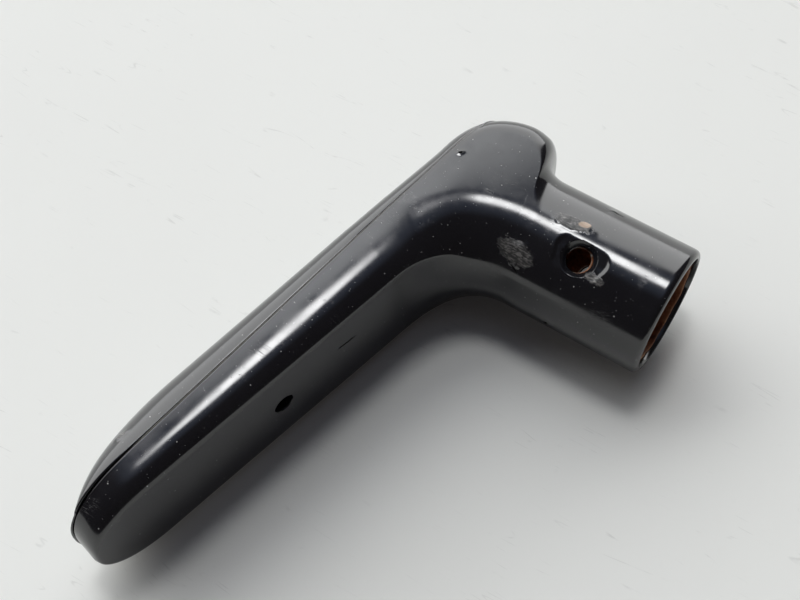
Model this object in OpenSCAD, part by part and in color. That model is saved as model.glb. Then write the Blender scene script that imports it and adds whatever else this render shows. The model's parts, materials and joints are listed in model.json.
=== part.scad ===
// Angled pull handle: a moulded grip with a socket arm, lined with a steel
// sleeve and stiffened by a steel bar.
// Millimetres. Origin: centre of the sleeve's open end. +X points out of the
// socket along its axis, the grip hangs toward -Y, and +Z is square to the
// plane of the L, so the handle lies on its side at z = -arm_d / 2.

/* [Socket arm] */
// Outside diameter of the socket arm
arm_d = 26; // [25:0.5:30]
// Distance from the sleeve's open end back to the finger face of the grip
arm_reach = 37; // [35:0.5:45]
// Rounding of the arm's outer rim at the mouth
rim_round = 1.2; // [0.4:0.1:1.3]
// Radius of the inner corner between the arm and the finger face
crotch_r = 16; // [10:0.5:18]
// Radius of the small neck between the arm and the heel
neck_r = 5; // [3:0.5:6]

/* [Grip] */
// Lean of the grip away from square to the socket
lean = 14; // [5:1:20]
// Length of the grip from the socket's axis to the tip
grip_len = 98; // [94:1:120]
// Overhang of the heel past the socket's axis
heel_len = 19; // [17:0.5:20]
// Height of the grip's section at the socket
head_h = 28.5; // [27:0.5:32]
// Height of the grip's section at the tip
tip_h = 26; // [23:0.5:28]
// Depth from the finger face to the seam, at the socket
head_seam = 12; // [11.5:0.5:14]
// Depth from the finger face to the seam, at the tip
tip_seam = 6; // [6:0.5:11]
// Rise of the domed back behind the seam, at the socket
head_dome = 4.8; // [4.6:0.1:7]
// Rise of the domed back behind the seam, near the tip
tip_dome = 10; // [6:0.5:11]
// Radius of the shoulders beside the finger face
shoulder_r = 3; // [2:0.5:4]

/* [Sleeve and bar] */
// Bore of the steel sleeve
sleeve_bore = 19.05; // [18.5:0.05:19.2]
// Wall of the sleeve
sleeve_wall = 1; // [0.8:0.1:1]
// Length of the sleeve
sleeve_len = 38; // [36:0.5:38]
// Width of the notch in the sleeve's mouth
notch_w = 6; // [4:0.5:7]
// Length of the notch in the sleeve's mouth
notch_len = 8; // [4:0.5:10]
// Width of the stiffening bar
bar_w = 12; // [10:0.5:12]
// Thickness of the stiffening bar
bar_t = 3; // [2:0.5:3]
// Reach of the bar down the grip
bar_reach = 82; // [70:1:84]

/* [Holes] */
// Diameter of the cross hole for a retaining pin
pin_d = 5; // [4:0.1:6]
// Diameter of the countersink round the cross hole
sink_d = 7; // [6.5:0.1:8]
// Distance of the cross hole behind the sleeve's open end
pin_x = 17; // [15:0.5:24]
// Turn of the cross hole about the socket's axis, toward the fingers
pin_turn = 22; // [0:1:40]
// Diameter of the small hole in the finger face
face_hole_d = 4.2; // [3:0.1:5]
// Distance of the small hole from the socket's axis
face_hole_y = 55; // [50:1:65]

/* [Hidden] */

cut = 0.5;                          // how far cutters run past a face
slide_gap = 0.05;                   // clearance of a sliding fit, per side
arm_r = arm_d / 2;
elbow_inset = 0.25;                 // elbows start this far under the arm
seam_set = 0.1;                     // seam sits behind the widest line
sleeve_r = sleeve_bore / 2 + sleeve_wall;
seat_r = sleeve_r + slide_gap;      // bore of the moulding round the sleeve
rim_lead = 0.8;                     // moulded rim, past the sleeve's open end
arm_l = arm_reach + 8 + rim_lead;   // arm, with its end inside the grip
flare_r = arm_r - rim_round - 0.3;  // widened lead-in at the mouth
flare_len = 2;
film_t = 0.2;                       // thickness of the cement film
plate_t = 2.5;
pad_x = -sleeve_len - plate_t;      // front face of the bar's riveted pad
sink_fall = 0.4;                    // drop of the round arm beside the sink
dimple_t = 0.6;                     // flat dimple in the bar, under the small hole
dimple_over = 0.8;
rivet_d = 4;
rivet_head_d = 7;
rivet_head_t = 1.4;
rivet_cone_d = 6;                   // flush front head, sunk in the plate
rivet_cone_t = 1;
rivet_y = 4.5;                      // rivets, either side of the axis
pad_y = 7.5;                        // half length of the bar's riveted pad
crank_y = 19;                       // where the bar's crank meets the seam
face_r = 3.5;                       // rounding where the face meets the tip
shoulder_turn = 62;                 // angle at which the shoulder meets the side
tip_r = 16;                         // length of the rounded tip, side view
tip_back_r = 30;                    // length over which the back falls away
heel_r = 13;                        // length of the rounded heel
peg_d = 3;
peg_len = 4;
peg_spots = [[14, 0], [-30, 9], [-30, -9], [-88, 0]];
hollow_w = 14;
hollow_t = 2.4;

// Depth of the seam below the finger face, at y along the grip
function seam_x(y) = -head_seam + (tip_seam - head_seam) * y / grip_len;
// Straight taper of the section's half height
function taper_h(y) = (head_h + (tip_h - head_h) * max(0, -y) / grip_len) / 2;
// Fraction left of a size, at t from an end that is rounded over length r
function fall(t, r, n) = t >= r ? 1 : pow(1 - pow((r - t) / r, n), 1 / n);
// Point of the grip's own plan, carried into the part's frame
function at_grip(p) = [-arm_reach + p[0] * cos(lean) + p[1] * sin(lean),
                       -p[0] * sin(lean) + p[1] * cos(lean)];

// Rise of the back at y, before its fall toward either end
function dome(y) = head_dome + (tip_dome - head_dome) * max(0, -y) / grip_len;

// Upper half of the D section: a shoulder arc, a wide arc that reaches full
// height at the seam, and the domed back
function upper_half(h, face, rise, y) =
    let (deep = face - seam_x(y),
         r1 = min(shoulder_r, deep * 0.8),
         r2 = (deep - r1 * (1 - cos(shoulder_turn))) / cos(shoulder_turn),
         drop = r1 * sin(shoulder_turn) + r2 * (1 - sin(shoulder_turn)),
         k = min(1, 0.95 * h / drop),
         foot = h - k * drop)
    concat([for (a = [0, 22, 44, shoulder_turn])
                [face - r1 * (1 - cos(a)), foot + k * r1 * sin(a)]],
           [for (a = [69, 76, 83])
                [seam_x(y) + r2 * cos(a), h - k * r2 * (1 - sin(a))]],
           [for (a = [0:10:90]) [seam_x(y) - rise * sin(a), h * cos(a)]]);
function section(h, face, rise, y) =
    let (up = upper_half(h, face, rise, y))
    concat(up, [for (i = [len(up) - 2:-1:0]) [up[i][0], -up[i][1]]]);

// Places a child in the grip's own frame: finger face at x = 0
module on_grip() translate([-arm_reach, 0, 0]) rotate([0, 0, -lean]) children();

// One thin slice of the grip at y, t from the nearer end
module slice(y, t, end_r, n, back_r) {
    h = taper_h(y) * fall(t, end_r, n);
    face = -face_r * (1 - fall(t, face_r, 2));
    rise = dome(y) * max(0.08, 1.6 * fall(t, back_r, 2) - 0.6);
    translate([0, y, 0])
    rotate([90, 0, 0])
    linear_extrude(0.02)
    polygon(section(max(h, 1), face, rise, y));
}

// The whole outer form of the grip, heel to tip
module grip_form() on_grip() hull() {
    for (t = [0.05, 0.6, 2, 4.5, 8, 12, 17, 30])
        slice(-grip_len + t, t, tip_r, 2.4, tip_back_r);
    for (t = [0.05, 0.6, 1.8, 4, 7, 10, 13])
        slice(heel_len - t, t, heel_r, 2.2, heel_r);
}

// Everything on the finger side of the seam, moved back by off
module ahead(off) on_grip() linear_extrude(60, center = true)
    polygon([[80, 60], [seam_x(60) - off, 60],
             [seam_x(-130) - off, -130], [80, -130]]);
// Everything behind the seam, moved back by off
module behind(off) on_grip() linear_extrude(60, center = true)
    polygon([[-60, 60], [seam_x(60) - off, 60],
             [seam_x(-130) - off, -130], [-60, -130]]);

// Round arm with a rounded outer rim
module arm_form() translate([rim_lead - arm_l, 0, 0]) rotate([0, 90, 0])
    rotate_extrude($fn = 96) {
        square([arm_r - rim_round, arm_l]);
        square([arm_r, arm_l - rim_round]);
        translate([arm_r - rim_round, arm_l - rim_round])
        circle(rim_round, $fn = 48);
    }

// Bent tube that rounds a corner of radius r between the arm and the grip;
// side is -1 in the crotch and 1 at the heel
module elbow(r, side, sweep) {
    ring = arm_r + r;
    x = -arm_reach + (r + side * ring * sin(lean)) / cos(lean);
    translate([x, side * ring, 0])
    rotate([0, 0, side > 0 ? -90 - sweep : 90])
    rotate_extrude(angle = sweep, $fn = 96)
    translate([ring, 0])
    circle(arm_r - elbow_inset, $fn = 64);
}

// A cylinder square to the socket's axis, at the cross hole
module at_pin() translate([-pin_x, 0, 0]) rotate([pin_turn, 0, 0]) children();

module pin_bore() at_pin() cylinder(h = arm_d + 4, d = pin_d, center = true, $fn = 64);

// Flared mouth of the cross hole, on the side that faces up
module pin_sink() at_pin() translate([0, 0, arm_r - (sink_d - pin_d) / 2 - sink_fall])
    cylinder(h = 2, d1 = pin_d, d2 = pin_d + 4, $fn = 64);

// Front face line of the bar, moved forward by gap
function bar_front(gap) = [
    [pad_x + gap, -pad_y + 0.5],
    at_grip([seam_x(-crank_y) + bar_t + gap, -crank_y]),
    at_grip([seam_x(-bar_reach) + bar_t + gap, -bar_reach - gap])];

// Slot in the front shell that takes the bar, open to the seam
module bar_pocket() linear_extrude(bar_w + 2 * slide_gap, center = true)
    polygon(concat(bar_front(slide_gap), [
        at_grip([seam_x(-bar_reach) - 1, -bar_reach - slide_gap]),
        at_grip([seam_x(0) - 1, 0]),
        [pad_x - bar_t, 0],
        [pad_x, 0]]));

// Bore of the moulding: seat for the sleeve, flared at the mouth
module sleeve_seat() {
    translate([-arm_reach - 25, 0, 0])
    rotate([0, 90, 0])
    cylinder(h = arm_reach + 25 + rim_lead + cut, r = seat_r, $fn = 96);
    translate([rim_lead - flare_len, 0, 0])
    rotate([0, 90, 0])
    cylinder(h = flare_len + 0.01, r1 = seat_r, r2 = flare_r, $fn = 96);
}

// Pegs of the back shell, or their sockets when grown by gap
module pegs(gap) on_grip() for (p = peg_spots)
    translate([seam_x(p[0]) - film_t - 0.6, p[0], p[1]])
    rotate([0, 90, 0])
    cylinder(h = peg_len + 0.8 + gap, d = peg_d + 2 * gap, $fn = 32);

module front_shell() color("#15161a") difference() {
    union() {
        intersection() {
            union() {
                grip_form();
                elbow(crotch_r, -1, 90 - lean);
                elbow(neck_r, 1, 56);
            }
            ahead(seam_set);
        }
        arm_form();
    }
    sleeve_seat();
    pin_bore();
    pin_sink();
    bar_pocket();
    pegs(slide_gap);
    on_grip()
    translate([seam_x(-face_hole_y), -face_hole_y, 0])
    rotate([0, 90, 0])
    cylinder(h = 20, d = face_hole_d, $fn = 64);
}

module back_shell() color("#1d1e23") {
    difference() {
        intersection() {
            grip_form();
            behind(seam_set + film_t);
        }
        on_grip()
        translate([0, -bar_reach / 2 - 6, 0])
        linear_extrude(hollow_w, center = true)
        polygon([[seam_x(-10) + 1, 35], [seam_x(-10) - film_t - hollow_t, 35],
                 [seam_x(-80) - film_t - hollow_t, -35], [seam_x(-80) + 1, -35]]);
    }
    pegs(0);
}

module seam_cement() color("#b9b2a0") difference() {
    intersection() {
        grip_form();
        ahead(seam_set + film_t);
        behind(seam_set);
    }
    sleeve_seat();
    bar_pocket();
    pegs(slide_gap);
}

module socket_sleeve() color("#8a5a35") difference() {
    translate([-sleeve_len, 0, 0])
    rotate([0, 90, 0])
    difference() {
        cylinder(h = sleeve_len, r = sleeve_r, $fn = 96);
        translate([0, 0, -cut])
        cylinder(h = sleeve_len + 2 * cut, d = sleeve_bore, $fn = 96);
    }
    pin_bore();
    rotate([pin_turn, 0, 0])
    translate([-notch_len, -notch_w / 2, 0])
    cube([notch_len + cut, notch_w, arm_r]);
}

// A rivet without its back head, or its countersunk hole when grown by gap
module rivet_shank(gap) for (s = [-1, 1])
    translate([pad_x - bar_t, s * rivet_y, 0])
    rotate([0, 90, 0]) {
        cylinder(h = bar_t + plate_t, d = rivet_d + 2 * gap, $fn = 32);
        translate([0, 0, bar_t + plate_t - rivet_cone_t])
        cylinder(h = rivet_cone_t, d1 = rivet_d + 2 * gap,
                 d2 = rivet_cone_d + 2 * gap, $fn = 32);
    }

module sleeve_end_plate() color("#7b6a58") difference() {
    translate([pad_x, 0, 0])
    rotate([0, 90, 0])
    cylinder(h = plate_t, r = sleeve_r, $fn = 96);
    rivet_shank(slide_gap);
}

module core_bar() color("#6f5d4c") difference() {
    linear_extrude(bar_w, center = true)
    polygon(concat([[pad_x, pad_y]], bar_front(0), [
        at_grip([seam_x(-bar_reach), -bar_reach]),
        at_grip([seam_x(-crank_y), -crank_y]),
        [pad_x - bar_t, -pad_y + 0.5],
        [pad_x - bar_t, pad_y]]));
    rivet_shank(slide_gap);
    on_grip()
    translate([seam_x(-face_hole_y) + bar_t - dimple_t, -face_hole_y, 0])
    rotate([0, 90, 0])
    cylinder(h = bar_t, d = face_hole_d + dimple_over, $fn = 64);
}

module core_rivets() color("#94866f") {
    rivet_shank(0);
    for (s = [-1, 1])
        translate([pad_x - bar_t - rivet_head_t, s * rivet_y, 0])
        rotate([0, 90, 0])
        cylinder(h = rivet_head_t, d = rivet_head_d, $fn = 32);
}

front_shell();
back_shell();
seam_cement();
socket_sleeve();
sleeve_end_plate();
core_bar();
core_rivets();
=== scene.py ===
"""Looks of the angled pull handle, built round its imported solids.

The visible handle is one skin, computed in millimetres as a grid of sections
along the handle: round sections down the socket arm, sections that fan round
the crotch, and D-shaped sections down the grip. The skin is parted at the
seam into a front and a back moulding. Sizes come from the frame.
"""

import json
import math

import bmesh
import bpy
import numpy as np
from mathutils import Matrix, Vector


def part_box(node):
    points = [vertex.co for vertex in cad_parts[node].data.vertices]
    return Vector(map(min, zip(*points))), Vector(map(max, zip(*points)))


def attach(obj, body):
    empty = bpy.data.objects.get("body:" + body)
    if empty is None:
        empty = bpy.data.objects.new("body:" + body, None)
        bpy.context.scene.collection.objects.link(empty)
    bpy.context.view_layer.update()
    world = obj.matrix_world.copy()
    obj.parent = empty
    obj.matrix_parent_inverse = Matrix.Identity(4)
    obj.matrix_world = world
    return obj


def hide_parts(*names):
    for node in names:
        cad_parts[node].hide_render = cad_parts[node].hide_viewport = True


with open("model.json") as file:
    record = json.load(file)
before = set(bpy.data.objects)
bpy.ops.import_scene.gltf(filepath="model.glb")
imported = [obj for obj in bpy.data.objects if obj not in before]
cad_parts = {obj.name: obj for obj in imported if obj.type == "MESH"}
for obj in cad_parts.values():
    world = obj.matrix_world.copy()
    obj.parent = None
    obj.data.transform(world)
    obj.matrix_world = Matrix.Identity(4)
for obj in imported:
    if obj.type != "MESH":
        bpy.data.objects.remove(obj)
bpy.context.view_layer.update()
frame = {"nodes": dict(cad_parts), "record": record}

MM = 0.001
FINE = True

# ---------------------------------------------------------------- sizes, mm
mounts = {m["name"]: m for m in frame["record"]["mounts"]}


def mount_values(name):
    """Position and axis in mm, radius and length of one mount."""
    m = mounts[name]
    return (np.array(m["pos_m"]) / MM, np.array(m["axis"], float),
            m["dims"]["r_mm"], m["dims"]["length_mm"])


def node_box(name):
    """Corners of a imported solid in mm."""
    low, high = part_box(name)
    return np.array(low) / MM, np.array(high) / MM


_, _, BORE_R, BORE_LEN = mount_values("socket_bore")
pin_pos, PIN_AXIS, PIN_R, pin_len = mount_values("cross_pin_bore")
face_pos, FACE_OUT, FACE_HOLE_R, FACE_HOLE_DEEP = mount_values("face_hole")
PIN_X = pin_pos[0]
ARM_R = pin_len / 2 + abs(pin_pos @ PIN_AXIS)
LEAN = math.atan2(-FACE_OUT[1], FACE_OUT[0])
COS, SIN = math.cos(LEAN), math.sin(LEAN)
DOWN = np.array([-SIN, -COS])            # along the grip, away from the arm
OUT = np.array([COS, -SIN])              # square to the finger face
FACE_S = -face_pos[1] / COS              # small hole, distance down the grip
REACH = -face_pos[0] - FACE_S * SIN      # mouth of the sleeve to the face
FACE_ORIGIN = np.array([-REACH, 0.0])
front_low, front_high = node_box("front_shell")
back_low, _ = node_box("back_shell")
_, sleeve_high = node_box("socket_sleeve")
rivet_low, _ = node_box("core_rivets")
SLEEVE_R = sleeve_high[2]
RIM_X = front_high[0]
HEAD_HALF = front_high[2]                # half height of the section, head

TIP_HALF = 12.9                          # half height of the section, tip
HEAD_SEAM, TIP_SEAM = 12.0, 5.8          # face to seam, head and tip
HEAD_DOME, TIP_DOME = 4.8, 10.0          # rise of the back behind the seam
CROTCH_R = 16.0
NECK = 4.8                               # blend between arm and heel
BEND_MARGIN = 7.0                        # seam to outer side, early in the bend
HEEL_BACK_R, HEEL_FRONT_R = 16.0, 3.8    # plan roundings of the heel
SHOULDER_CROTCH, SHOULDER_TIP = 1.1, 2.2
SHOULDER_TURN = math.radians(50)         # where the shoulder meets the side
SIDE_POWER = 4                           # flatness of the side near the seam
TIP_ROUND, TIP_POWER, TIP_BACK = 15.5, 2.34, 30.0
TIP_FACE = 1.0
TIP_SET_BACK = 3.4                       # lowest point of the tip behind the face
RIM_ROUND = 1.2
LIP = 0.3                                # flat land of the mouth's rim
SEAT_R = SLEEVE_R + 0.12
TIP_S = (-front_low[1] + TIP_SET_BACK * SIN) / COS
HEEL_S = (front_high[1] - HEAD_SEAM * SIN) / COS


# ------------------------------------------------------------ small helpers
def smooth(x):
    x = np.clip(x, 0, 1)
    return x * x * (3 - 2 * x)


def rounded(t, r, power):
    """Share of a size left at t from an end rounded over length r."""
    return (1 - np.clip((r - t) / r, 0, 1) ** power) ** (1 / power)


def seam_depth(s):
    """Face to seam, at s down the grip."""
    return HEAD_SEAM + (TIP_SEAM - HEAD_SEAM) * np.clip(s, -20, TIP_S) / TIP_S


def dome_rise(s, left):
    """Rise of the back behind the seam, at s down the grip and left from the
    tip, where it falls away to a thin edge."""
    rise = HEAD_DOME + (TIP_DOME - HEAD_DOME) * np.maximum(s, 0) / TIP_S
    return rise * np.maximum(1.6 * rounded(left + 0.02, TIP_BACK, 2) - 0.6, 0.05)


def half_height(s):
    """Half height of the grip's section, at s down the grip."""
    return HEAD_HALF + (TIP_HALF - HEAD_HALF) * s / TIP_S


def hashed(i, j, k, seed):
    v = np.sin(i * 127.1 + j * 311.7 + k * 74.7 + seed * 53.3) * 43758.5453
    return v - np.floor(v)


def lumps(p, size, seed):
    """Smooth value noise from -1 to 1 at points p, with lumps of one size."""
    q = p / size
    c = np.floor(q)
    f = smooth(q - c)
    total = 0
    for dx in (0, 1):
        for dy in (0, 1):
            for dz in (0, 1):
                w = (np.abs(1 - dx - f[..., 0]) * np.abs(1 - dy - f[..., 1])
                     * np.abs(1 - dz - f[..., 2]))
                total = total + w * hashed(c[..., 0] + dx, c[..., 1] + dy,
                                           c[..., 2] + dz, seed)
    return total * 2 - 1


def grid_faces(rows, cols):
    """Quads of a grid of points, closed round its columns."""
    i, j = np.meshgrid(np.arange(rows - 1), np.arange(cols), indexing="ij")
    k = (j + 1) % cols
    return np.stack([i * cols + j, i * cols + k, (i + 1) * cols + k,
                     (i + 1) * cols + j], -1).reshape(-1, 4)


def face_outward(piece):
    mesh = bmesh.new()
    mesh.from_mesh(piece.data)
    bmesh.ops.recalc_face_normals(mesh, faces=mesh.faces)
    mesh.to_mesh(piece.data)
    mesh.free()


def make_piece(name, points, faces, smooth_shade=True):
    """Mesh object at the origin from points in mm, faces turned outward."""
    mesh = bpy.data.meshes.new(name)
    mesh.from_pydata((np.asarray(points) * MM).tolist(), [],
                     [list(map(int, f)) for f in faces])
    mesh.update()
    if smooth_shade:
        mesh.polygons.foreach_set("use_smooth", [True] * len(mesh.polygons))
    piece = bpy.data.objects.new(name, mesh)
    bpy.context.scene.collection.objects.link(piece)
    face_outward(piece)
    return piece


def lathe(profile, steps=72):
    """Points and faces of a profile of (x, r) turned about the X axis; a
    radius of 0 at either end closes it to a pole."""
    profile = np.asarray(profile, float)
    a = np.linspace(0, 2 * np.pi, steps, endpoint=False)
    body = profile[(profile[:, 1] > 0)]
    pts = np.stack([np.repeat(body[:, :1], steps, 1),
                    np.outer(body[:, 1], np.cos(a)),
                    np.outer(body[:, 1], np.sin(a))], -1).reshape(-1, 3)
    faces = [list(f[::-1]) for f in grid_faces(len(body), steps)]
    pts = list(map(tuple, pts))
    n = len(body) * steps
    if profile[0, 1] == 0:
        pts.append((profile[0, 0], 0, 0))
        faces += [[n, j, (j + 1) % steps] for j in range(steps)]
        n += 1
    if profile[-1, 1] == 0:
        pts.append((profile[-1, 0], 0, 0))
        b = (len(body) - 1) * steps
        faces += [[n, b + (j + 1) % steps, b + j] for j in range(steps)]
    return np.array(pts), faces


def turned_to(axis, origin):
    """Matrix that carries +X onto axis and the origin onto a point, in mm."""
    m = Vector((1, 0, 0)).rotation_difference(Vector(axis)).to_matrix().to_4x4()
    return Matrix.Translation(Vector(origin)) @ m


def placed(points, matrix):
    m = np.array(matrix)
    return points @ m[:3, :3].T + m[:3, 3]


def carve(piece, points, faces):
    """Cuts a closed solid out of a piece."""
    cutter = make_piece("cutter", points, faces, False)
    mod = piece.modifiers.new("carve", "BOOLEAN")
    mod.operation = "DIFFERENCE"
    mod.solver = "EXACT"
    mod.object = cutter
    graph = bpy.context.evaluated_depsgraph_get()
    mesh = bpy.data.meshes.new_from_object(piece.evaluated_get(graph))
    piece.modifiers.clear()
    piece.data = mesh
    bpy.data.objects.remove(cutter)


# ------------------------------------------------------------ handle's skin
CROTCH_RING = ARM_R + CROTCH_R
CROTCH = np.array([-REACH + (CROTCH_R - CROTCH_RING * SIN) / COS, -CROTCH_RING])
CROTCH_S = (CROTCH - FACE_ORIGIN) @ DOWN


def plan_outside(x, y):
    """Plan distance outside the arm strip joined to the head, with a neck."""
    arm = np.maximum(np.abs(y) - ARM_R, -(x + REACH + 4))
    depth = -((x - FACE_ORIGIN[0]) * OUT[0] + (y - FACE_ORIGIN[1]) * OUT[1])
    s = (x - FACE_ORIGIN[0]) * DOWN[0] + (y - FACE_ORIGIN[1]) * DOWN[1]
    back = depth - seam_depth(s) - dome_rise(s, TIP_S)
    top = -s - HEEL_S

    def corner(a, b, r):
        return (np.hypot(np.maximum(a + r, 0), np.maximum(b + r, 0))
                + np.minimum(np.maximum(a + r, b + r), 0) - r)

    head = np.maximum(corner(back, top, HEEL_BACK_R),
                      corner(-depth, top, HEEL_FRONT_R))
    blend = np.maximum(NECK - np.abs(arm - head), 0) / NECK
    return np.minimum(arm, head) - blend * blend * NECK / 4


def fan_reach(angle):
    """Distance from the crotch's centre to the outer outline, per angle."""
    r = np.linspace(CROTCH_R + 8, 78, 280)
    outside = plan_outside(CROTCH[0] + np.outer(r, np.cos(angle)),
                           CROTCH[1] + np.outer(r, np.sin(angle))) > 0
    k = np.argmax(outside, axis=0)
    low, high = r[k - 1].copy(), r[k].copy()
    for _ in range(24):
        mid = (low + high) / 2
        out = plan_outside(CROTCH[0] + mid * np.cos(angle),
                           CROTCH[1] + mid * np.sin(angle)) > 0
        high = np.where(out, mid, high)
        low = np.where(out, low, mid)
    return (low + high) / 2


def stations(n_arm, n_bend, n_grip):
    """Rows along the handle. Each has a base point and plan direction, the
    distances along it to the inner side, the seam and the outer side, the
    half height, the share of the D form and the shoulder radius."""
    x = np.linspace(RIM_X - RIM_ROUND, CROTCH[0], n_arm, endpoint=False)
    one = np.ones_like(x)
    arm = dict(base=np.c_[x, one * CROTCH[1]], out=np.c_[0 * x, one],
               inner=one * CROTCH_R, outer=one * (CROTCH_R + 2 * ARM_R),
               seam=one * CROTCH_RING, half=one * ARM_R, dee=0 * one,
               shoulder=one * ARM_R)
    end = np.pi - LEAN
    t = np.linspace(0, 1, n_bend, endpoint=False)
    angle = np.pi / 2 + (end - np.pi / 2) * t ** 1.35
    reach = fan_reach(angle)
    off = end - angle
    plane = ((CROTCH_R + seam_depth(CROTCH_S - 25 * np.tan(np.minimum(off, 1.2))))
             / np.maximum(np.cos(off), 0.05))
    margin = ARM_R + (BEND_MARGIN - ARM_R) * smooth((angle - np.pi / 2)
                                                    / math.radians(14))
    rise_here = dome_rise(CROTCH_S, TIP_S)
    margin = margin + (rise_here - margin) * smooth((t - 0.4) / 0.5)
    ease = 0.01 + 4 * (1 - smooth((t - 0.5) / 0.4))
    seam = np.minimum(plane, reach - margin)
    blend = np.maximum(ease - np.abs(plane - (reach - margin)), 0) / ease
    seam = seam - blend * blend * ease / 4
    bend = dict(base=np.repeat(CROTCH[None], n_bend, 0),
                out=np.c_[np.cos(angle), np.sin(angle)],
                inner=np.full(n_bend, CROTCH_R), outer=reach, seam=seam,
                half=ARM_R + (half_height(CROTCH_S) - ARM_R) * smooth(t * 1.4),
                dee=smooth((t - 0.15) / 0.85),
                shoulder=np.full(n_bend, SHOULDER_CROTCH))
    a = np.linspace(0, 1, n_grip)
    length = TIP_S - CROTCH_S
    s = CROTCH_S + length * (1 - (1 - a) ** 1.5)
    left = np.maximum(TIP_S - s, 0)
    half = half_height(s)
    rise = dome_rise(s, left)
    grip = dict(base=FACE_ORIGIN + np.outer(s, DOWN) + CROTCH_R * OUT,
                out=np.repeat(-OUT[None], n_grip, 0),
                inner=CROTCH_R + TIP_FACE * (1 - rounded(left + 0.02, TIP_FACE, 2)),
                outer=CROTCH_R + seam_depth(s) + rise,
                seam=CROTCH_R + seam_depth(s),
                half=half * rounded(left + 0.02, TIP_ROUND, TIP_POWER),
                dee=np.ones(n_grip),
                shoulder=SHOULDER_CROTCH + (SHOULDER_TIP - SHOULDER_CROTCH)
                * smooth((s - CROTCH_S) / (0.75 * length)))
    return {k: np.concatenate([arm[k], bend[k], grip[k]]) for k in arm}


def upper_half(rows, n_in, n_out):
    """Distance and height round the upper half of every section. The round
    form is a quarter ellipse and a flat; the D form is the flat face, a
    shoulder arc, a side whose drop grows as a power of the distance from the
    seam, and an elliptical back."""
    inner, seam, outer, half, dee = [rows[k][:, None] for k in
                                     ("inner", "seam", "outer", "half", "dee")]
    f = np.linspace(0, 1, n_in)[None]
    wide = np.minimum(seam - inner, ARM_R)
    arc = np.pi / 4 * (wide + half)
    along = f * (arc + seam - inner - wide)
    turn = np.clip(along / arc, 0, 1) * np.pi / 2
    x_round = inner + wide * (1 - np.cos(turn)) + np.maximum(along - arc, 0)
    z_round = half * np.sin(turn)
    r1 = np.minimum(rows["shoulder"][:, None],
                    np.minimum(half * 0.8, (seam - inner) * 0.8))
    side = np.maximum(seam - inner - r1 * (1 - math.cos(SHOULDER_TURN)), 0.01)
    drop = side / (SIDE_POWER * math.tan(SHOULDER_TURN))
    rise = r1 * math.sin(SHOULDER_TURN) + drop
    shrink = np.minimum(1, half * 0.95 / rise)
    flat = half - rise * shrink
    lengths = [flat, r1 * SHOULDER_TURN, np.hypot(side, drop)]
    along = f * sum(lengths)
    turned = np.clip((along - flat) / lengths[1], 0, 1) * SHOULDER_TURN
    u = 1 - np.clip((along - flat - lengths[1]) / lengths[2], 0, 1)
    on_side = along > flat + lengths[1]
    x_dee = np.where(on_side, seam - side * u, inner + r1 * (1 - np.cos(turned)))
    z_dee = np.where(on_side, half - shrink * drop * u ** SIDE_POWER,
                     np.minimum(along, flat) + shrink * r1 * np.sin(turned))
    b = np.linspace(0, np.pi / 2, n_out + 1)[None, 1:]
    x = x_round + (x_dee - x_round) * dee
    z = z_round + (z_dee - z_round) * dee
    return (np.concatenate([x, seam + (outer - seam) * np.sin(b)], 1),
            np.concatenate([z, half * np.cos(b)], 1))


def handle_skin():
    """Grid of points, rows from the inside of the bore out over the rim, down
    the arm, round the bend and down to the tip."""
    rows = stations(*((90, 150, 190) if FINE else (60, 90, 110)))
    x, z = upper_half(rows, *((72, 26) if FINE else (44, 18)))
    x = np.concatenate([x, x[:, -2:0:-1]], 1)
    z = np.concatenate([z, -z[:, -2:0:-1]], 1)
    pts = np.empty(x.shape + (3,))
    pts[..., 0] = rows["base"][:, 0, None] + x * rows["out"][:, 0, None]
    pts[..., 1] = rows["base"][:, 1, None] + x * rows["out"][:, 1, None]
    pts[..., 2] = z
    ring = pts[0, :, 1:] / ARM_R
    bore = [(rivet_low[0] - 0.1, 0.02), (rivet_low[0] - 0.1, SEAT_R - 0.5),
            (rivet_low[0] + 0.4, SEAT_R)]
    bore += [(v, SEAT_R) for v in np.linspace(-34, -4, 16)]
    flare = ARM_R - RIM_ROUND - LIP
    turn = np.linspace(0, np.pi / 2, 6)
    bore += [(RIM_X - 3.2 + 2.2 * t, SEAT_R + (flare - SEAT_R) * smooth(t))
             for t in np.linspace(0, 1, 8)]
    bore += [(RIM_X - 0.3 + 0.3 * np.sin(a), flare + LIP * (1 - np.cos(a)))
             for a in turn[1:]]
    bore += [(RIM_X - RIM_ROUND * (1 - np.cos(a)), ARM_R - RIM_ROUND * (1 - np.sin(a)))
             for a in turn[:-1]]
    inside = np.array([np.c_[np.full(len(ring), v), ring * r] for v, r in bore])
    return np.concatenate([inside, pts])


def grid_normals(p):
    du = np.roll(p, -1, 1) - np.roll(p, 1, 1)
    dv = np.gradient(p, axis=0)
    n = np.cross(dv, du)
    return n / np.maximum(np.linalg.norm(n, axis=-1, keepdims=True), 1e-9)


# --------------------------------------------------------- wear of the skin
# centre (mm), half length and half width, direction of its length, depth
GOUGES = [((-27.9, -8.6, 9.8), 4.4, 2.5, (1, -0.15, -0.1), 0.24),
          ((-21.2, 0.6, 13.0), 4.4, 1.5, (1, 0.1, 0), 0.18),
          ((-16.4, 8.3, 10.0), 2.4, 0.5, (1, 0.1, 0), 0.22),
          ((-46.6, 2.8, 14.1), 1.3, 0.7, (0.8, 0.6, 0), 0.30),
          ((-18.2, -12.9, -1.5), 0.7, 0.9, (1, 0, 0), 0.30),
          ((-50.3, -36.5, 12.6), 0.8, 0.5, (0.4, 1, 0), 0.15),
          ((-66.5, -76.0, 11.5), 2.2, 0.8, (0.3, 1, 0), 0.25)]
PIN_SIDE = np.array([1.0, 0.0, 0.0])
SPOT_HALF = 5.4                           # half length of the spot face
SPOT_DROP = 0.42                          # below the arm's surface


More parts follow.
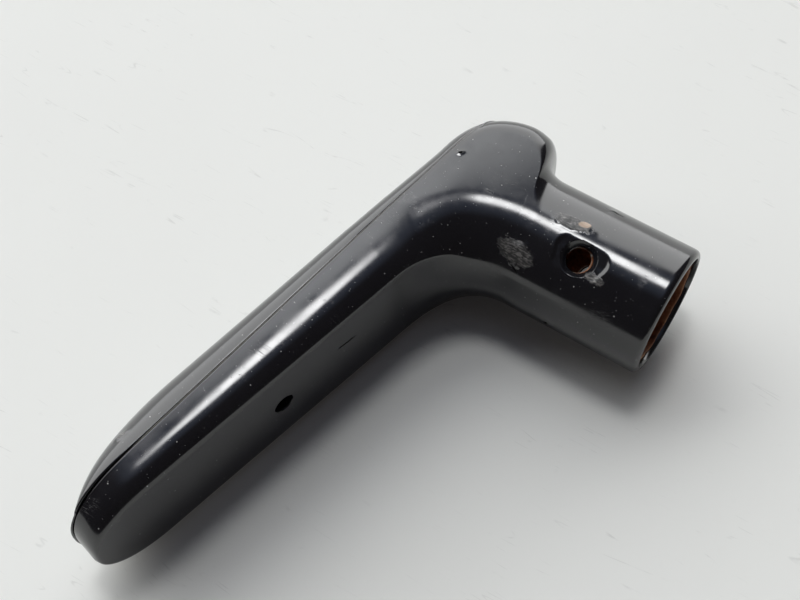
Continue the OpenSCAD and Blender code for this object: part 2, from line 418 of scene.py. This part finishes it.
def worn(p, n):
    """Skin points with the spot face and the gouges worked in."""
    pin_height = p @ PIN_AXIS
    from_pin = p - np.array([PIN_X, 0, 0])
    along = from_pin @ PIN_SIDE
    across = from_pin @ np.cross(PIN_AXIS, PIN_SIDE)
    around = np.arctan2(across, along)
    edge = SPOT_HALF * (1 + 0.05 * np.sin(3 * around + 1) + 0.03 * np.sin(7 * around))
    inside = smooth((edge - np.hypot(along, across)) / 0.7)
    floor = ARM_R - SPOT_DROP + 0.03 * lumps(p, 0.9, 3)
    drop = np.maximum(pin_height - floor, 0) * inside * (pin_height > 0)
    p = p - drop[..., None] * PIN_AXIS
    for centre, length, width, way, depth in GOUGES:
        d = p - np.array(centre)
        way = np.array(way, float) / np.linalg.norm(way)
        u = d @ way
        v = np.linalg.norm(d - u[..., None] * way, axis=-1)
        r = np.hypot(u / length, v / width) + 0.35 * lumps(p, 1.4, 7)
        torn = 0.55 + 0.45 * lumps(p, 0.7, 11)
        p = p - n * (depth * smooth((1 - r) / 0.35) * torn)[..., None]
    return p


# ------------------------------------------------ front and back mouldings
def seam_plane():
    """A point of the seam and its normal, toward the fingers, in mm."""
    a = FACE_ORIGIN - OUT * seam_depth(0.0)
    b = FACE_ORIGIN + DOWN * TIP_S - OUT * seam_depth(TIP_S)
    along = (b - a) / np.linalg.norm(b - a)
    return np.array([a[0], a[1], 0.0]), np.array([-along[1], along[0], 0.0])


FRONT_GAP, BACK_GAP = 0.03, 0.17          # cut edges, either side of the seam
SEAM_AT, SEAM_OUT = seam_plane()
if SEAM_OUT[:2] @ OUT < 0:
    SEAM_OUT = -SEAM_OUT


def down_grip(p):
    return (p[..., :2] - FACE_ORIGIN) @ DOWN


def part_at_seam(piece, side, offset, edge_r):
    """Keeps one side of the seam, rounds the cut edge in and closes it.
    side is 1 for the finger side. edge_r(points) is the rounding, in mm."""
    mesh = bmesh.new()
    mesh.from_mesh(piece.data)
    normal = SEAM_OUT * side
    widest = 0.3                         # room for the widest rounding
    at = SEAM_AT + normal * (offset + widest)
    geom = mesh.verts[:] + mesh.edges[:] + mesh.faces[:]
    bmesh.ops.bisect_plane(mesh, geom=geom, dist=1e-7, plane_co=Vector(at * MM),
                           plane_no=Vector(normal), clear_inner=True)
    rim = [e for e in mesh.edges if e.is_boundary]
    loops = []
    left = set(rim)
    while left:
        first = left.pop()
        loop = [first.verts[0], first.verts[1]]
        while True:
            step = next((e for e in loop[-1].link_edges if e in left), None)
            if step is None:
                break
            left.discard(step)
            nxt = step.other_vert(loop[-1])
            if nxt is loop[0]:
                break
            loop.append(nxt)
        loops.append(loop)
    for loop in loops:
        if len(loop) < 12:
            continue
        pts = np.array([v.co for v in loop]) / MM
        tangent = np.roll(pts, -1, 0) - np.roll(pts, 1, 0)
        inward = np.cross(normal, tangent)
        inward /= np.maximum(np.linalg.norm(inward, axis=1, keepdims=True), 1e-9)
        centre = pts.mean(0)
        if np.mean(np.sum(inward * (centre - pts), 1)) < 0:
            inward = -inward
        for _ in range(3):
            inward = (np.roll(inward, 1, 0) + 2 * inward + np.roll(inward, -1, 0)) / 4
        r = edge_r(pts)[:, None]
        previous = loop
        rings = [pts - normal * (widest - r)]
        for a in np.radians([30, 60, 90]):
            rings.append(pts - normal * (widest - r + r * np.sin(a))
                         + inward * r * (1 - np.cos(a)))
        for ring in rings:
            current = [mesh.verts.new(Vector(q * MM)) for q in ring]
            for i in range(len(current)):
                j = (i + 1) % len(current)
                try:
                    mesh.faces.new((previous[i], previous[j], current[j], current[i]))
                except ValueError:
                    pass
            previous = current
        mesh.faces.new(previous)
    bmesh.ops.recalc_face_normals(mesh, faces=mesh.faces)
    mesh.to_mesh(piece.data)
    mesh.free()
    piece.data.polygons.foreach_set("use_smooth", [True] * len(piece.data.polygons))


skin = handle_skin()
skin = worn(skin, grid_normals(skin))
n_rows, n_cols = skin.shape[:2]
skin_points = skin.reshape(-1, 3)
skin_faces = [list(f) for f in grid_faces(n_rows, n_cols)]
pole_in = len(skin_points)
skin_points = np.vstack([skin_points, skin[0].mean(0), skin[-1].mean(0)])
last = (n_rows - 1) * n_cols
skin_faces += [[pole_in, (j + 1) % n_cols, j] for j in range(n_cols)]
skin_faces += [[pole_in + 1, last + j, last + (j + 1) % n_cols]
               for j in range(n_cols)]


def cut_edge_r(p):
    """The cut edge is crisp at the head and broken toward the tip."""
    return 0.05 + 0.2 * smooth((down_grip(p) - 10) / 80)


grip_front = make_piece("grip_front", skin_points, skin_faces)
part_at_seam(grip_front, 1, FRONT_GAP, cut_edge_r)

# The back moulding stands a little proud of the front one at the tip.
PROUD_DOWN, PROUD_BACK, PROUD_WIDER = 0.35, 0.25, 0.03
tip_share = smooth((down_grip(skin_points) - (TIP_S - 24)) / 22)
proud = skin_points.copy()
proud[:, :2] += (np.outer(tip_share * PROUD_DOWN, DOWN)
                 - np.outer(tip_share * PROUD_BACK, OUT))
proud[:, 2] *= 1 + PROUD_WIDER * tip_share
grip_back = make_piece("grip_back", proud, skin_faces)
part_at_seam(grip_back, -1, BACK_GAP, cut_edge_r)


# ----------------------------------------------------------- holes
def pin_cutter(radius, sink, low, high):
    """Cross hole as a turned solid, with a softly broken countersink."""
    top = ARM_R - SPOT_DROP
    profile = [(low, 0), (low, radius), (top - sink - 0.25, radius),
               (top - sink - 0.05, radius + 0.03), (top - sink * 0.5, radius + sink * 0.52),
               (top - 0.08, radius + sink * 0.93), (top + 0.1, radius + sink * 1.05),
               (top + 0.4, radius + sink * 1.5), (high, radius + sink * 1.6), (high, 0)]
    pts, faces = lathe(profile, 96)
    return placed(pts, turned_to(PIN_AXIS, (PIN_X, 0, 0))), faces


carve(grip_front, *pin_cutter(PIN_R, 1.0, -ARM_R - 2, ARM_R + 2))
face_profile = [(-FACE_HOLE_DEEP - 0.12, 0), (-FACE_HOLE_DEEP - 0.12, FACE_HOLE_R),
                (-0.22, FACE_HOLE_R), (-0.08, FACE_HOLE_R + 0.04),
                (0.02, FACE_HOLE_R + 0.16), (1, FACE_HOLE_R + 0.9), (1, 0)]
face_points, face_faces = lathe(face_profile, 72)
carve(grip_front, placed(face_points, turned_to(FACE_OUT, face_pos)), face_faces)

# ----------------------------------------------------------- sleeve
NOTCH_WIDE, NOTCH_LONG = 6.0, 8.0
SLEEVE_SLIP = 0.35                        # its pin hole sits off the moulding's
notch_half = math.asin(NOTCH_WIDE / 2 / BORE_R)
PIN_TURN = math.atan2(-PIN_AXIS[1], PIN_AXIS[2])


def sleeve_piece():
    """Rolled sheet tube: its open edge has a notch and a slightly ragged lip.
    Each row gives x and radius at every angle; the rows run out along the
    inside, over the lip and back along the outside."""
    around = 240
    a = np.linspace(0, 2 * np.pi, around, endpoint=False)
    # angle measured from +Z toward -Y, as the cross hole is turned
    mouth = 0.06 * np.sin(5 * a) + 0.05 * np.sin(11 * a + 1)
    gap = np.abs((a - PIN_TURN + np.pi) % (2 * np.pi) - np.pi)
    notch = NOTCH_LONG * smooth((notch_half - gap) / 0.02 + 0.5)
    mouth = mouth - notch
    deep = -BORE_LEN
    lip = 0.16
    rows = []
    for t in np.linspace(0, 1, 60):
        rows.append((deep + (mouth - lip - deep) * t, BORE_R + 0 * a))
    for b in np.linspace(0, np.pi, 7)[1:-1]:
        wall = (SLEEVE_R - BORE_R) / 2
        rows.append((mouth - lip + lip * np.sin(b), BORE_R + wall - wall * np.cos(b)))
    for t in np.linspace(0, 1, 60):
        rows.append((mouth - lip + (deep - mouth + lip) * t, SLEEVE_R - 0.02 + 0 * a))
    pts = []
    for x, r in rows:
        r = r + 0.03 * np.sin(3 * a + 0.6)
        pts.append(np.c_[x + 0 * a, -r * np.sin(a), r * np.cos(a)])
    pts = np.array(pts)
    n = len(pts)
    faces = [list(f) for f in grid_faces(n, around)]
    faces += [[(n - 1) * around + j, (n - 1) * around + (j + 1) % around,
               (j + 1) % around, j] for j in range(around)]
    return make_piece("sleeve_rolled", pts.reshape(-1, 3), faces)


sleeve_rolled = sleeve_piece()
sleeve_hole, sleeve_hole_faces = lathe([(-ARM_R, 0), (-ARM_R, PIN_R - 0.1),
                                        (ARM_R, PIN_R - 0.1), (ARM_R, 0)], 72)
carve(sleeve_rolled, placed(sleeve_hole, turned_to(PIN_AXIS, (PIN_X - SLEEVE_SLIP, 0, 0))),
      sleeve_hole_faces)

# ----------------------------------------------------------- cement line
CEMENT_FRONT, CEMENT_BACK = 0.02, -0.16   # faces of the film, from the seam


def seam_outline(steps=400):
    """Closed outline of the seam's plane, from the uncut skin."""
    side = (skin_points[:-2] - SEAM_AT) @ SEAM_OUT
    grid = side.reshape(n_rows, n_cols)
    p = skin
    cross = []                           # where the grid's lines pass the plane
    a, b = grid[:-1], grid[1:]
    hit = (a * b) < 0
    t = a / (a - b + 1e-12)
    q = p[:-1] + (p[1:] - p[:-1]) * t[..., None]
    cross.append(q[hit])
    a, b = grid, np.roll(grid, -1, 1)
    hit = (a * b) < 0
    t = a / (a - b + 1e-12)
    q = p + (np.roll(p, -1, 1) - p) * t[..., None]
    cross.append(q[hit])
    q = np.concatenate(cross)
    s = down_grip(q)
    middle = (s.min() + s.max()) / 2
    ang = np.arctan2(q[:, 2], (s - middle) * 0.3)
    order = np.argsort(ang)
    ang, s, z = ang[order], s[order], q[order, 2]
    want = np.linspace(-np.pi, np.pi, steps, endpoint=False)
    s = np.interp(want, ang, s, period=2 * np.pi)
    z = np.interp(want, ang, z, period=2 * np.pi)
    return s, z


def seam_band():
    """Thin cement sheet just short of the skin, a closed solid."""
    s, z = seam_outline()
    depth = seam_depth(s)
    ring = FACE_ORIGIN + np.outer(s, DOWN) - OUT * depth[:, None]
    pts = np.c_[ring, z]
    tangent = np.roll(pts, -1, 0) - np.roll(pts, 1, 0)
    inward = np.cross(SEAM_OUT, tangent)
    inward /= np.linalg.norm(inward, axis=1, keepdims=True)
    if np.mean(np.sum(inward * (pts.mean(0) - pts), 1)) < 0:
        inward = -inward
    recess = 0.05 + 0.75 * smooth((s - (TIP_S - 22)) / 14)[:, None]
    recess = recess + 0.03 * lumps(pts, 2.0, 5)[:, None]
    edge = pts + inward * recess
    middle = edge * 0.5 + edge.mean(0) * 0.5
    front, back = SEAM_OUT * CEMENT_FRONT, SEAM_OUT * CEMENT_BACK
    rows = [middle + front, edge + inward * 0.3 + front, edge - front,
            edge + back * 0.75, edge + inward * 0.3 + back, middle + back]
    n = len(pts)
    faces = [list(f) for f in grid_faces(len(rows), n)]
    faces.append(list(range(n)))
    faces.append([5 * n + j for j in range(n)][::-1])
    return make_piece("seam_line", np.concatenate(rows), faces)


seam_line = seam_band()

# ----------------------------------------------------------- materials
def new_group(name, inputs, outputs):
    group = bpy.data.node_groups.new(name, "ShaderNodeTree")
    for label, kind, value in inputs:
        sock = group.interface.new_socket(label, in_out="INPUT", socket_type=kind)
        if value is not None:
            sock.default_value = value
    for label, kind in outputs:
        group.interface.new_socket(label, in_out="OUTPUT", socket_type=kind)
    enter = group.nodes.new("NodeGroupInput")
    leave = group.nodes.new("NodeGroupOutput")
    return group, enter, leave


def node(tree, kind, inputs=(), **settings):
    """Adds a node, sets its properties, and sets or links its inputs."""
    made = tree.nodes.new(kind)
    for key, value in settings.items():
        setattr(made, key, value)
    for key, value in dict(inputs).items():
        if isinstance(value, bpy.types.NodeSocket):
            tree.links.new(value, made.inputs[key])
        else:
            made.inputs[key].default_value = value
    return made


def maths(tree, op, a, b=0.0, c=0.0):
    return node(tree, "ShaderNodeMath", {0: a, 1: b, 2: c}, operation=op).outputs[0]


def ramp(tree, value, low, high, to_low=0.0, to_high=1.0):
    return node(tree, "ShaderNodeMapRange",
                {"Value": value, "From Min": low, "From Max": high,
                 "To Min": to_low, "To Max": to_high},
                interpolation_type="SMOOTHSTEP").outputs["Result"]


def noise(tree, vector, scale, detail=3.0, rough=0.5, distortion=0.0):
    return node(tree, "ShaderNodeTexNoise",
                {"Vector": vector, "Scale": scale, "Detail": detail,
                 "Roughness": rough, "Distortion": distortion})


def scratch_group():
    """Fine scratches: thin level lines of stretched, warped noise, kept in
    patches. Outputs a mask and a height."""
    g, i, o = new_group("scratches", [("Vector", "NodeSocketVector", None),
                                      ("Amount", "NodeSocketFloat", 0.5),
                                      ("Scale", "NodeSocketFloat", 1.0)],
                        [("Mask", "NodeSocketFloat"), ("Height", "NodeSocketFloat")])
    total = None
    for turn, stretch, size, keep in (((0.3, 0.2, 0.6), (1, 9, 1), 260, 0.60),
                                      ((0.9, -0.4, -0.5), (1, 12, 1), 340, 0.62),
                                      ((-0.5, 1.1, 1.9), (1, 15, 1), 220, 0.58)):
        vec = node(g, "ShaderNodeMapping", {"Vector": i.outputs["Vector"],
                                            "Rotation": turn, "Scale": stretch})
        size_in = maths(g, "MULTIPLY", i.outputs["Scale"], size)
        n = noise(g, vec.outputs[0], size_in, 1.0, 0.4, 0.25)
        line = maths(g, "ABSOLUTE", maths(g, "SUBTRACT", n.outputs["Fac"], 0.5))
        line = ramp(g, line, 0.0, 0.012, 1.0, 0.0)
        patch = ramp(g, noise(g, i.outputs["Vector"], 90 + size / 4, 3.0).outputs["Fac"],
                     keep, keep + 0.12)
        line = maths(g, "MULTIPLY", line, patch)
        total = line if total is None else maths(g, "MAXIMUM", total, line)
    total = maths(g, "MULTIPLY", total, i.outputs["Amount"])
    g.links.new(total, o.inputs["Mask"])
    g.links.new(maths(g, "MULTIPLY", total, -1.0), o.inputs["Height"])
    return g


def speck_group():
    """White dust specks: small Voronoi cells kept at random."""
    g, i, o = new_group("dust_specks", [("Vector", "NodeSocketVector", None),
                                        ("Density", "NodeSocketFloat", 0.2),
                                        ("Size", "NodeSocketFloat", 0.2)],
                        [("Mask", "NodeSocketFloat")])
    total = None
    for scale in (900.0, 2100.0):
        cell = node(g, "ShaderNodeTexVoronoi", {"Vector": i.outputs["Vector"],
                                                "Scale": scale, "Randomness": 1.0})
        pick = node(g, "ShaderNodeSeparateColor", {"Color": cell.outputs["Color"]})
        chosen = maths(g, "LESS_THAN", pick.outputs[0], i.outputs["Density"])
        near = maths(g, "LESS_THAN", cell.outputs["Distance"],
                     maths(g, "MULTIPLY", i.outputs["Size"],
                           maths(g, "ADD", pick.outputs[1], 0.3)))
        hit = maths(g, "MULTIPLY", chosen, near)
        total = hit if total is None else maths(g, "MAXIMUM", total, hit)
    g.links.new(total, o.inputs["Mask"])
    return g


def rust_group():
    """Rust: mottled orange and brown with pale scale and dark pits."""
    g, i, o = new_group("rust", [("Vector", "NodeSocketVector", None),
                                 ("Age", "NodeSocketFloat", 0.5)],
                        [("Color", "NodeSocketColor"), ("Height", "NodeSocketFloat"),
                         ("Bare", "NodeSocketFloat")])
    broad = noise(g, i.outputs["Vector"], 260, 5.0, 0.6, 0.4).outputs["Fac"]
    fine = noise(g, i.outputs["Vector"], 1700, 4.0, 0.65).outputs["Fac"]
    value = maths(g, "ADD", maths(g, "MULTIPLY", broad, 0.65),
                  maths(g, "MULTIPLY", fine, 0.35))
    tone = node(g, "ShaderNodeValToRGB", {"Fac": value})
    stops = tone.color_ramp.elements
    stops[0].position, stops[0].color = 0.30, (0.055, 0.016, 0.006, 1)
    stops[1].position, stops[1].color = 0.72, (0.46, 0.25, 0.12, 1)
    mid = stops.new(0.46)
    mid.color = (0.20, 0.062, 0.018, 1)
    mid = stops.new(0.58)
    mid.color = (0.33, 0.125, 0.04, 1)
    g.links.new(tone.outputs["Color"], o.inputs["Color"])
    g.links.new(value, o.inputs["Height"])
    bare = ramp(g, broad, maths(g, "ADD", i.outputs["Age"], 0.1),
                maths(g, "ADD", i.outputs["Age"], 0.22))
    g.links.new(bare, o.inputs["Bare"])
    return g


def patch_group():
    """Ragged long spot round a point: the mask of one worn place or crack."""
    g, i, o = new_group("worn_patch", [("Vector", "NodeSocketVector", None),
                                       ("Centre", "NodeSocketVector", None),
                                       ("Way", "NodeSocketVector", None),
                                       ("Length", "NodeSocketFloat", 0.004),
                                       ("Width", "NodeSocketFloat", 0.002),
                                       ("Ragged", "NodeSocketFloat", 0.5)],
                        [("Mask", "NodeSocketFloat")])
    gap = node(g, "ShaderNodeVectorMath", {0: i.outputs["Vector"],
                                           1: i.outputs["Centre"]},
               operation="SUBTRACT").outputs["Vector"]
    along = node(g, "ShaderNodeVectorMath", {0: gap, 1: i.outputs["Way"]},
                 operation="DOT_PRODUCT").outputs["Value"]
    total = node(g, "ShaderNodeVectorMath", {0: gap, 1: gap},
                 operation="DOT_PRODUCT").outputs["Value"]
    across = maths(g, "SQRT", maths(g, "MAXIMUM", maths(
        g, "SUBTRACT", total, maths(g, "MULTIPLY", along, along)), 0.0))
    u = maths(g, "DIVIDE", along, i.outputs["Length"])
    v = maths(g, "DIVIDE", across, i.outputs["Width"])
    share = maths(g, "SQRT", maths(g, "ADD", maths(g, "MULTIPLY", u, u),
                                   maths(g, "MULTIPLY", v, v)))
    n = noise(g, i.outputs["Vector"], 900, 4.0, 0.6).outputs["Fac"]
    share = maths(g, "ADD", share, maths(g, "MULTIPLY", maths(g, "SUBTRACT", n, 0.5),
                                         i.outputs["Ragged"]))
    g.links.new(ramp(g, share, 0.75, 1.0, 1.0, 0.0), o.inputs["Mask"])
    return g


SCRATCHES = scratch_group()
SPECKS = speck_group()
RUST = rust_group()
PATCH = patch_group()


def new_material(name):
    mat = bpy.data.materials.new(name)
    mat.use_nodes = True
    tree = mat.node_tree
    shader = tree.nodes["Principled BSDF"]
    coords = node(tree, "ShaderNodeTexCoord").outputs["Object"]
    return mat, tree, shader, coords


def grouped(tree, group, inputs):
    made = tree.nodes.new("ShaderNodeGroup")
    made.node_tree = group
    for key, value in inputs.items():
        if isinstance(value, bpy.types.NodeSocket):
            tree.links.new(value, made.inputs[key])
        else:
            made.inputs[key].default_value = value
    return made


def mixed(tree, factor, a, b):
    made = tree.nodes.new("ShaderNodeMix")
    made.data_type = "RGBA"
    for slot, value in ((0, factor), (6, a), (7, b)):
        if isinstance(value, bpy.types.NodeSocket):
            tree.links.new(value, made.inputs[slot])
        else:
            made.inputs[slot].default_value = value
    return made.outputs[2]


def marked(tree, coords, marks, ragged):
    """Joined mask of many worn places, each (centre, length, width, way)."""
    total = None
    for centre, length, width, way in marks:
        way = np.array(way, float) / np.linalg.norm(way)
        spot = grouped(tree, PATCH, {"Vector": coords,
                                     "Centre": [c * MM for c in centre],
                                     "Way": list(way), "Length": length * MM,
                                     "Width": width * MM, "Ragged": ragged})
        total = (spot.outputs["Mask"] if total is None
                 else maths(tree, "MAXIMUM", total, spot.outputs["Mask"]))
    return total


def black_gloss(name, scratch, dust, scuffs, cracks):
    """Polished black moulding: soft orange peel, scratches, dust, torn grey
    patches and dark cracks."""
    mat, tree, shader, coords = new_material(name)
    lines = grouped(tree, SCRATCHES, {"Vector": coords, "Amount": scratch, "Scale": 1.0})
    specks = grouped(tree, SPECKS, {"Vector": coords, "Density": dust, "Size": 0.085})
    wear = marked(tree, coords, scuffs, 1.1)
    crack = marked(tree, coords, cracks, 0.7)
    tone = noise(tree, coords, 60, 3.0).outputs["Fac"]
    colour = mixed(tree, tone, (0.005, 0.005, 0.007, 1), (0.010, 0.010, 0.012, 1))
    colour = mixed(tree, maths(tree, "MULTIPLY", lines.outputs["Mask"], 0.35),
                  colour, (0.14, 0.135, 0.13, 1))
    streak = node(tree, "ShaderNodeMapping", {"Vector": coords, "Rotation": (0.3, 0.2, 0.7),
                                              "Scale": (1, 4, 2)})
    grain = noise(tree, streak.outputs[0], 900, 4.0, 0.75, 0.6).outputs["Fac"]
    scuffed = mixed(tree, ramp(tree, grain, 0.46, 0.66), (0.012, 0.012, 0.012, 1),
                   (0.21, 0.20, 0.19, 1))
    colour = mixed(tree, wear, colour, scuffed)
    colour = mixed(tree, crack, colour, (0.004, 0.004, 0.004, 1))
    chip = marked(tree, coords, [CHIP_AT], 0.8)
    colour = mixed(tree, chip, colour, (0.36, 0.25, 0.17, 1))
    colour = mixed(tree, specks.outputs["Mask"], colour, (0.5, 0.5, 0.48, 1))
    tree.links.new(colour, shader.inputs["Base Color"])
    haze = noise(tree, coords, 130, 4.0, 0.6).outputs["Fac"]
    rough = ramp(tree, haze, 0.3, 0.75, 0.10, 0.19)
    dull = maths(tree, "MAXIMUM", maths(tree, "MULTIPLY", wear, 0.45),
                 maths(tree, "MAXIMUM", crack, specks.outputs["Mask"]))
    rough = maths(tree, "ADD", rough, maths(tree, "MULTIPLY", lines.outputs["Mask"], 0.25))
    rough = maths(tree, "ADD", rough, maths(tree, "MULTIPLY", dull, 0.7))
    tree.links.new(rough, shader.inputs["Roughness"])
    tree.links.new(ramp(tree, crack, 0.0, 1.0, 0.85, 0.0),
                   shader.inputs["Specular IOR Level"])
    shader.inputs["IOR"].default_value = 1.5
    peel = noise(tree, coords, 420, 2.0).outputs["Fac"]
    height = maths(tree, "MULTIPLY", peel, 0.08)
    height = maths(tree, "ADD", height, maths(tree, "MULTIPLY", lines.outputs["Height"], 0.4))
    height = maths(tree, "ADD", height,
                   maths(tree, "MULTIPLY", maths(tree, "MULTIPLY", grain, wear), 2.2))
    height = maths(tree, "ADD", height, maths(tree, "MULTIPLY", crack, -1.2))
    height = maths(tree, "ADD", height, maths(tree, "MULTIPLY", specks.outputs["Mask"], 0.5))
    bump = node(tree, "ShaderNodeBump", {"Height": height, "Strength": 0.35,
                                         "Distance": 0.0001})
    tree.links.new(bump.outputs[0], shader.inputs["Normal"])
    return mat


def rusty(name, age, dark):
    """Rusted sheet steel, brighter where the edge is rubbed."""
    mat, tree, shader, coords = new_material(name)
    rust = grouped(tree, RUST, {"Vector": coords, "Age": age})
    tint = mixed(tree, dark, rust.outputs["Color"], (0.06, 0.035, 0.02, 1))
    edge = node(tree, "ShaderNodeNewGeometry").outputs["Pointiness"]
    rubbed = ramp(tree, edge, 0.53, 0.6)
    bare = maths(tree, "MAXIMUM", maths(tree, "MULTIPLY", rust.outputs["Bare"], 0.3), rubbed)
    tree.links.new(mixed(tree, bare, tint, (0.62, 0.56, 0.5, 1)),
                   shader.inputs["Base Color"])
    tree.links.new(maths(tree, "MULTIPLY", bare, 0.85), shader.inputs["Metallic"])
    tree.links.new(ramp(tree, rust.outputs["Height"], 0.3, 0.7, 0.9, 0.6),
                   shader.inputs["Roughness"])
    bump = node(tree, "ShaderNodeBump", {"Height": rust.outputs["Height"],
                                         "Strength": 0.7, "Distance": 0.00025})
    tree.links.new(bump.outputs[0], shader.inputs["Normal"])
    return mat


def cement_material():
    """Pale dusty cement with a fine grain."""
    mat, tree, shader, coords = new_material("cement_line")
    grain = noise(tree, coords, 1400, 4.0, 0.7).outputs["Fac"]
    tree.links.new(mixed(tree, grain, (0.05, 0.048, 0.045, 1), (0.42, 0.40, 0.37, 1)),
                   shader.inputs["Base Color"])
    shader.inputs["Roughness"].default_value = 0.8
    bump = node(tree, "ShaderNodeBump", {"Height": grain, "Strength": 0.5,
                                         "Distance": 0.0001})
    tree.links.new(bump.outputs[0], shader.inputs["Normal"])
    return mat


# worn places: centre (mm), half length, half width, direction of its length
SCUFFS = [(c, length * 0.95, width * 0.95, way) for c, length, width, way, _ in GOUGES[:2]]
SCUFFS += [((-13.0, -6.6, 11.2), 3.0, 1.0, (1, -0.2, 0)),
           ((-66.5, -76.0, 11.5), 2.0, 0.7, (0.3, 1, 0))]
CRACKS = [((-16.4, 8.3, 10.0), 2.6, 0.22, (1, 0.1, 0)),
          ((-39.2, 13.6, 13.6), 2.0, 0.14, (1, 0.2, 0)),
          ((-35.4, 12.9, 13.6), 2.0, 0.14, (1, -0.35, 0)),
          ((-46.5, -37.9, 3.1), 2.6, 0.30, (0.25, 1, -0.13)),
          ((-46.0, -37.2, 1.2), 1.5, 0.18, (0.25, 1, 0.3)),
          ((-46.6, 2.8, 14.1), 1.2, 0.35, (0.8, 0.6, 0)),
          ((-18.2, -12.9, -1.5), 0.5, 0.5, (1, 0, 0)),
          ((-50.3, -36.5, 12.6), 0.8, 0.25, (0.4, 1, 0)),
          ((-27.5, -10.4, 7.8), 2.2, 0.16, (1, -0.4, -0.5))]
BACK_SCUFFS, BACK_CRACKS = SCUFFS[3:], CRACKS[5:6]
CHIP_AT = ((-19.2, 1.4, 12.9), 1.3, 0.8, (1, 0.2, 0))


def dress(piece, material):
    piece.data.materials.clear()
    piece.data.materials.append(material)


dress(grip_front, black_gloss("black_front", 0.7, 0.30, SCUFFS, CRACKS))
dress(grip_back, black_gloss("black_back", 0.5, 0.25, BACK_SCUFFS, BACK_CRACKS))
dress(sleeve_rolled, rusty("sleeve_rust", 0.62, 0.0))
dress(seam_line, cement_material())
steel = rusty("dark_steel", 0.6, 0.55)
rivets = rusty("rivet_steel", 0.5, 0.3)
for name, mat in (("sleeve_end_plate", steel), ("core_bar", steel),
                  ("core_rivets", rivets)):
    dress(frame["nodes"][name], mat)

for piece, body_node, finish in ((grip_front, "front_shell", "black_gloss"),
                                 (grip_back, "back_shell", "black_gloss_back"),
                                 (seam_line, "seam_cement", "cement"),
                                 (sleeve_rolled, "socket_sleeve", "rusty_sleeve")):
    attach(piece, "root")
    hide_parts(body_node)

# ----------------------------------------------------------- floor and light
floor_mesh = bpy.data.meshes.new("board")
board_z = min(front_low[2], back_low[2]) * MM - 0.0001
floor_mesh.from_pydata([(-3, -3, board_z), (3, -3, board_z), (3, 3, board_z),
                        (-3, 3, board_z)], [], [(0, 1, 2, 3)])
board = bpy.data.objects.new("board", floor_mesh)
bpy.context.scene.collection.objects.link(board)


def board_material():
    """Pale board with faint shading and a few fine scratches."""
    mat, tree, shader, coords = new_material("pale_board")
    tone = noise(tree, coords, 14, 4.0).outputs["Fac"]
    colour = mixed(tree, tone, (0.83, 0.835, 0.80, 1), (0.88, 0.885, 0.85, 1))
    lines = grouped(tree, SCRATCHES, {"Vector": coords, "Amount": 0.3, "Scale": 0.12})
    colour = mixed(tree, lines.outputs["Mask"], colour, (0.45, 0.45, 0.43, 1))
    tree.links.new(colour, shader.inputs["Base Color"])
    shader.inputs["Roughness"].default_value = 0.55
    return mat


dress(board, board_material())


WALL_WAY, WALL_EDGE, WALL_POWER = (-0.83, 0.55, 0.0), 0.43, 2.7
LAMP_WAY, LAMP_WIDE, LAMP_SOFT, LAMP_POWER = (-0.16, 0.22, 0.962), 3.2, 5.0, 15.0
GLOW_WIDE, GLOW_POWER, DIM_POWER = 30.0, 0.35, 0.05


def room_light():
    """Room: a bright wall beyond the grip's back, a lamp overhead with a blue
    glow round it, and little light behind the camera."""
    world = bpy.data.worlds.new("room")
    bpy.context.scene.world = world
    world.use_nodes = True
    tree = world.node_tree
    ground = tree.nodes["Background"]
    way = node(tree, "ShaderNodeTexCoord").outputs["Generated"]

    def toward(aim):
        aim = np.array(aim) / np.linalg.norm(aim)
        return node(tree, "ShaderNodeVectorMath", {0: way, 1: list(aim)},
                    operation="DOT_PRODUCT").outputs["Value"]

    def scaled(colour, strength):
        return node(tree, "ShaderNodeVectorMath", {0: colour, "Scale": strength},
                    operation="SCALE").outputs["Vector"]

    def within(aim, near, far):
        return ramp(tree, toward(aim), math.cos(math.radians(far)),
                    math.cos(math.radians(near)))

    wall = ramp(tree, toward(WALL_WAY), WALL_EDGE - 0.03, WALL_EDGE + 0.03)
    lamp = within(LAMP_WAY, LAMP_WIDE, LAMP_WIDE + LAMP_SOFT)
    glow = within(LAMP_WAY, 0.0, GLOW_WIDE)
    total = scaled((0.99, 1.0, 1.0), maths(tree, "MULTIPLY", wall, WALL_POWER))
    for colour, strength in (((1.0, 1.0, 1.0), maths(tree, "MULTIPLY", lamp, LAMP_POWER)),
                             ((0.55, 0.7, 1.0), maths(tree, "MULTIPLY", glow, GLOW_POWER)),
                             ((1.0, 0.9, 0.95), DIM_POWER)):
        total = node(tree, "ShaderNodeVectorMath", {0: total, 1: scaled(colour, strength)},
                     operation="ADD").outputs["Vector"]
    tree.links.new(total, ground.inputs["Color"])


room_light()

scene = bpy.context.scene
scene.view_settings.view_transform = "Standard"

# ----------------------------------------------------------- camera
CAMERA_AT = np.array([25.1, -114.9, 217.8])
CAMERA_RIGHT = np.array([0.8396, 0.5417, -0.0401])
CAMERA_FORWARD = np.array([-0.2806, 0.3693, -0.8859])
LENS = 58.005
forward = CAMERA_FORWARD / np.linalg.norm(CAMERA_FORWARD)
right = CAMERA_RIGHT - forward * (CAMERA_RIGHT @ forward)
right /= np.linalg.norm(right)
up = np.cross(right, forward)
camera_data = bpy.data.cameras.new("camera")
camera_data.sensor_width = 36
camera_data.lens = LENS
camera_data.clip_start = 0.01
camera = bpy.data.objects.new("camera", camera_data)
scene.collection.objects.link(camera)
turn = Matrix((right, up, -forward)).transposed().to_4x4()
camera.matrix_world = Matrix.Translation(Vector(CAMERA_AT * MM)) @ turn
scene.camera = camera
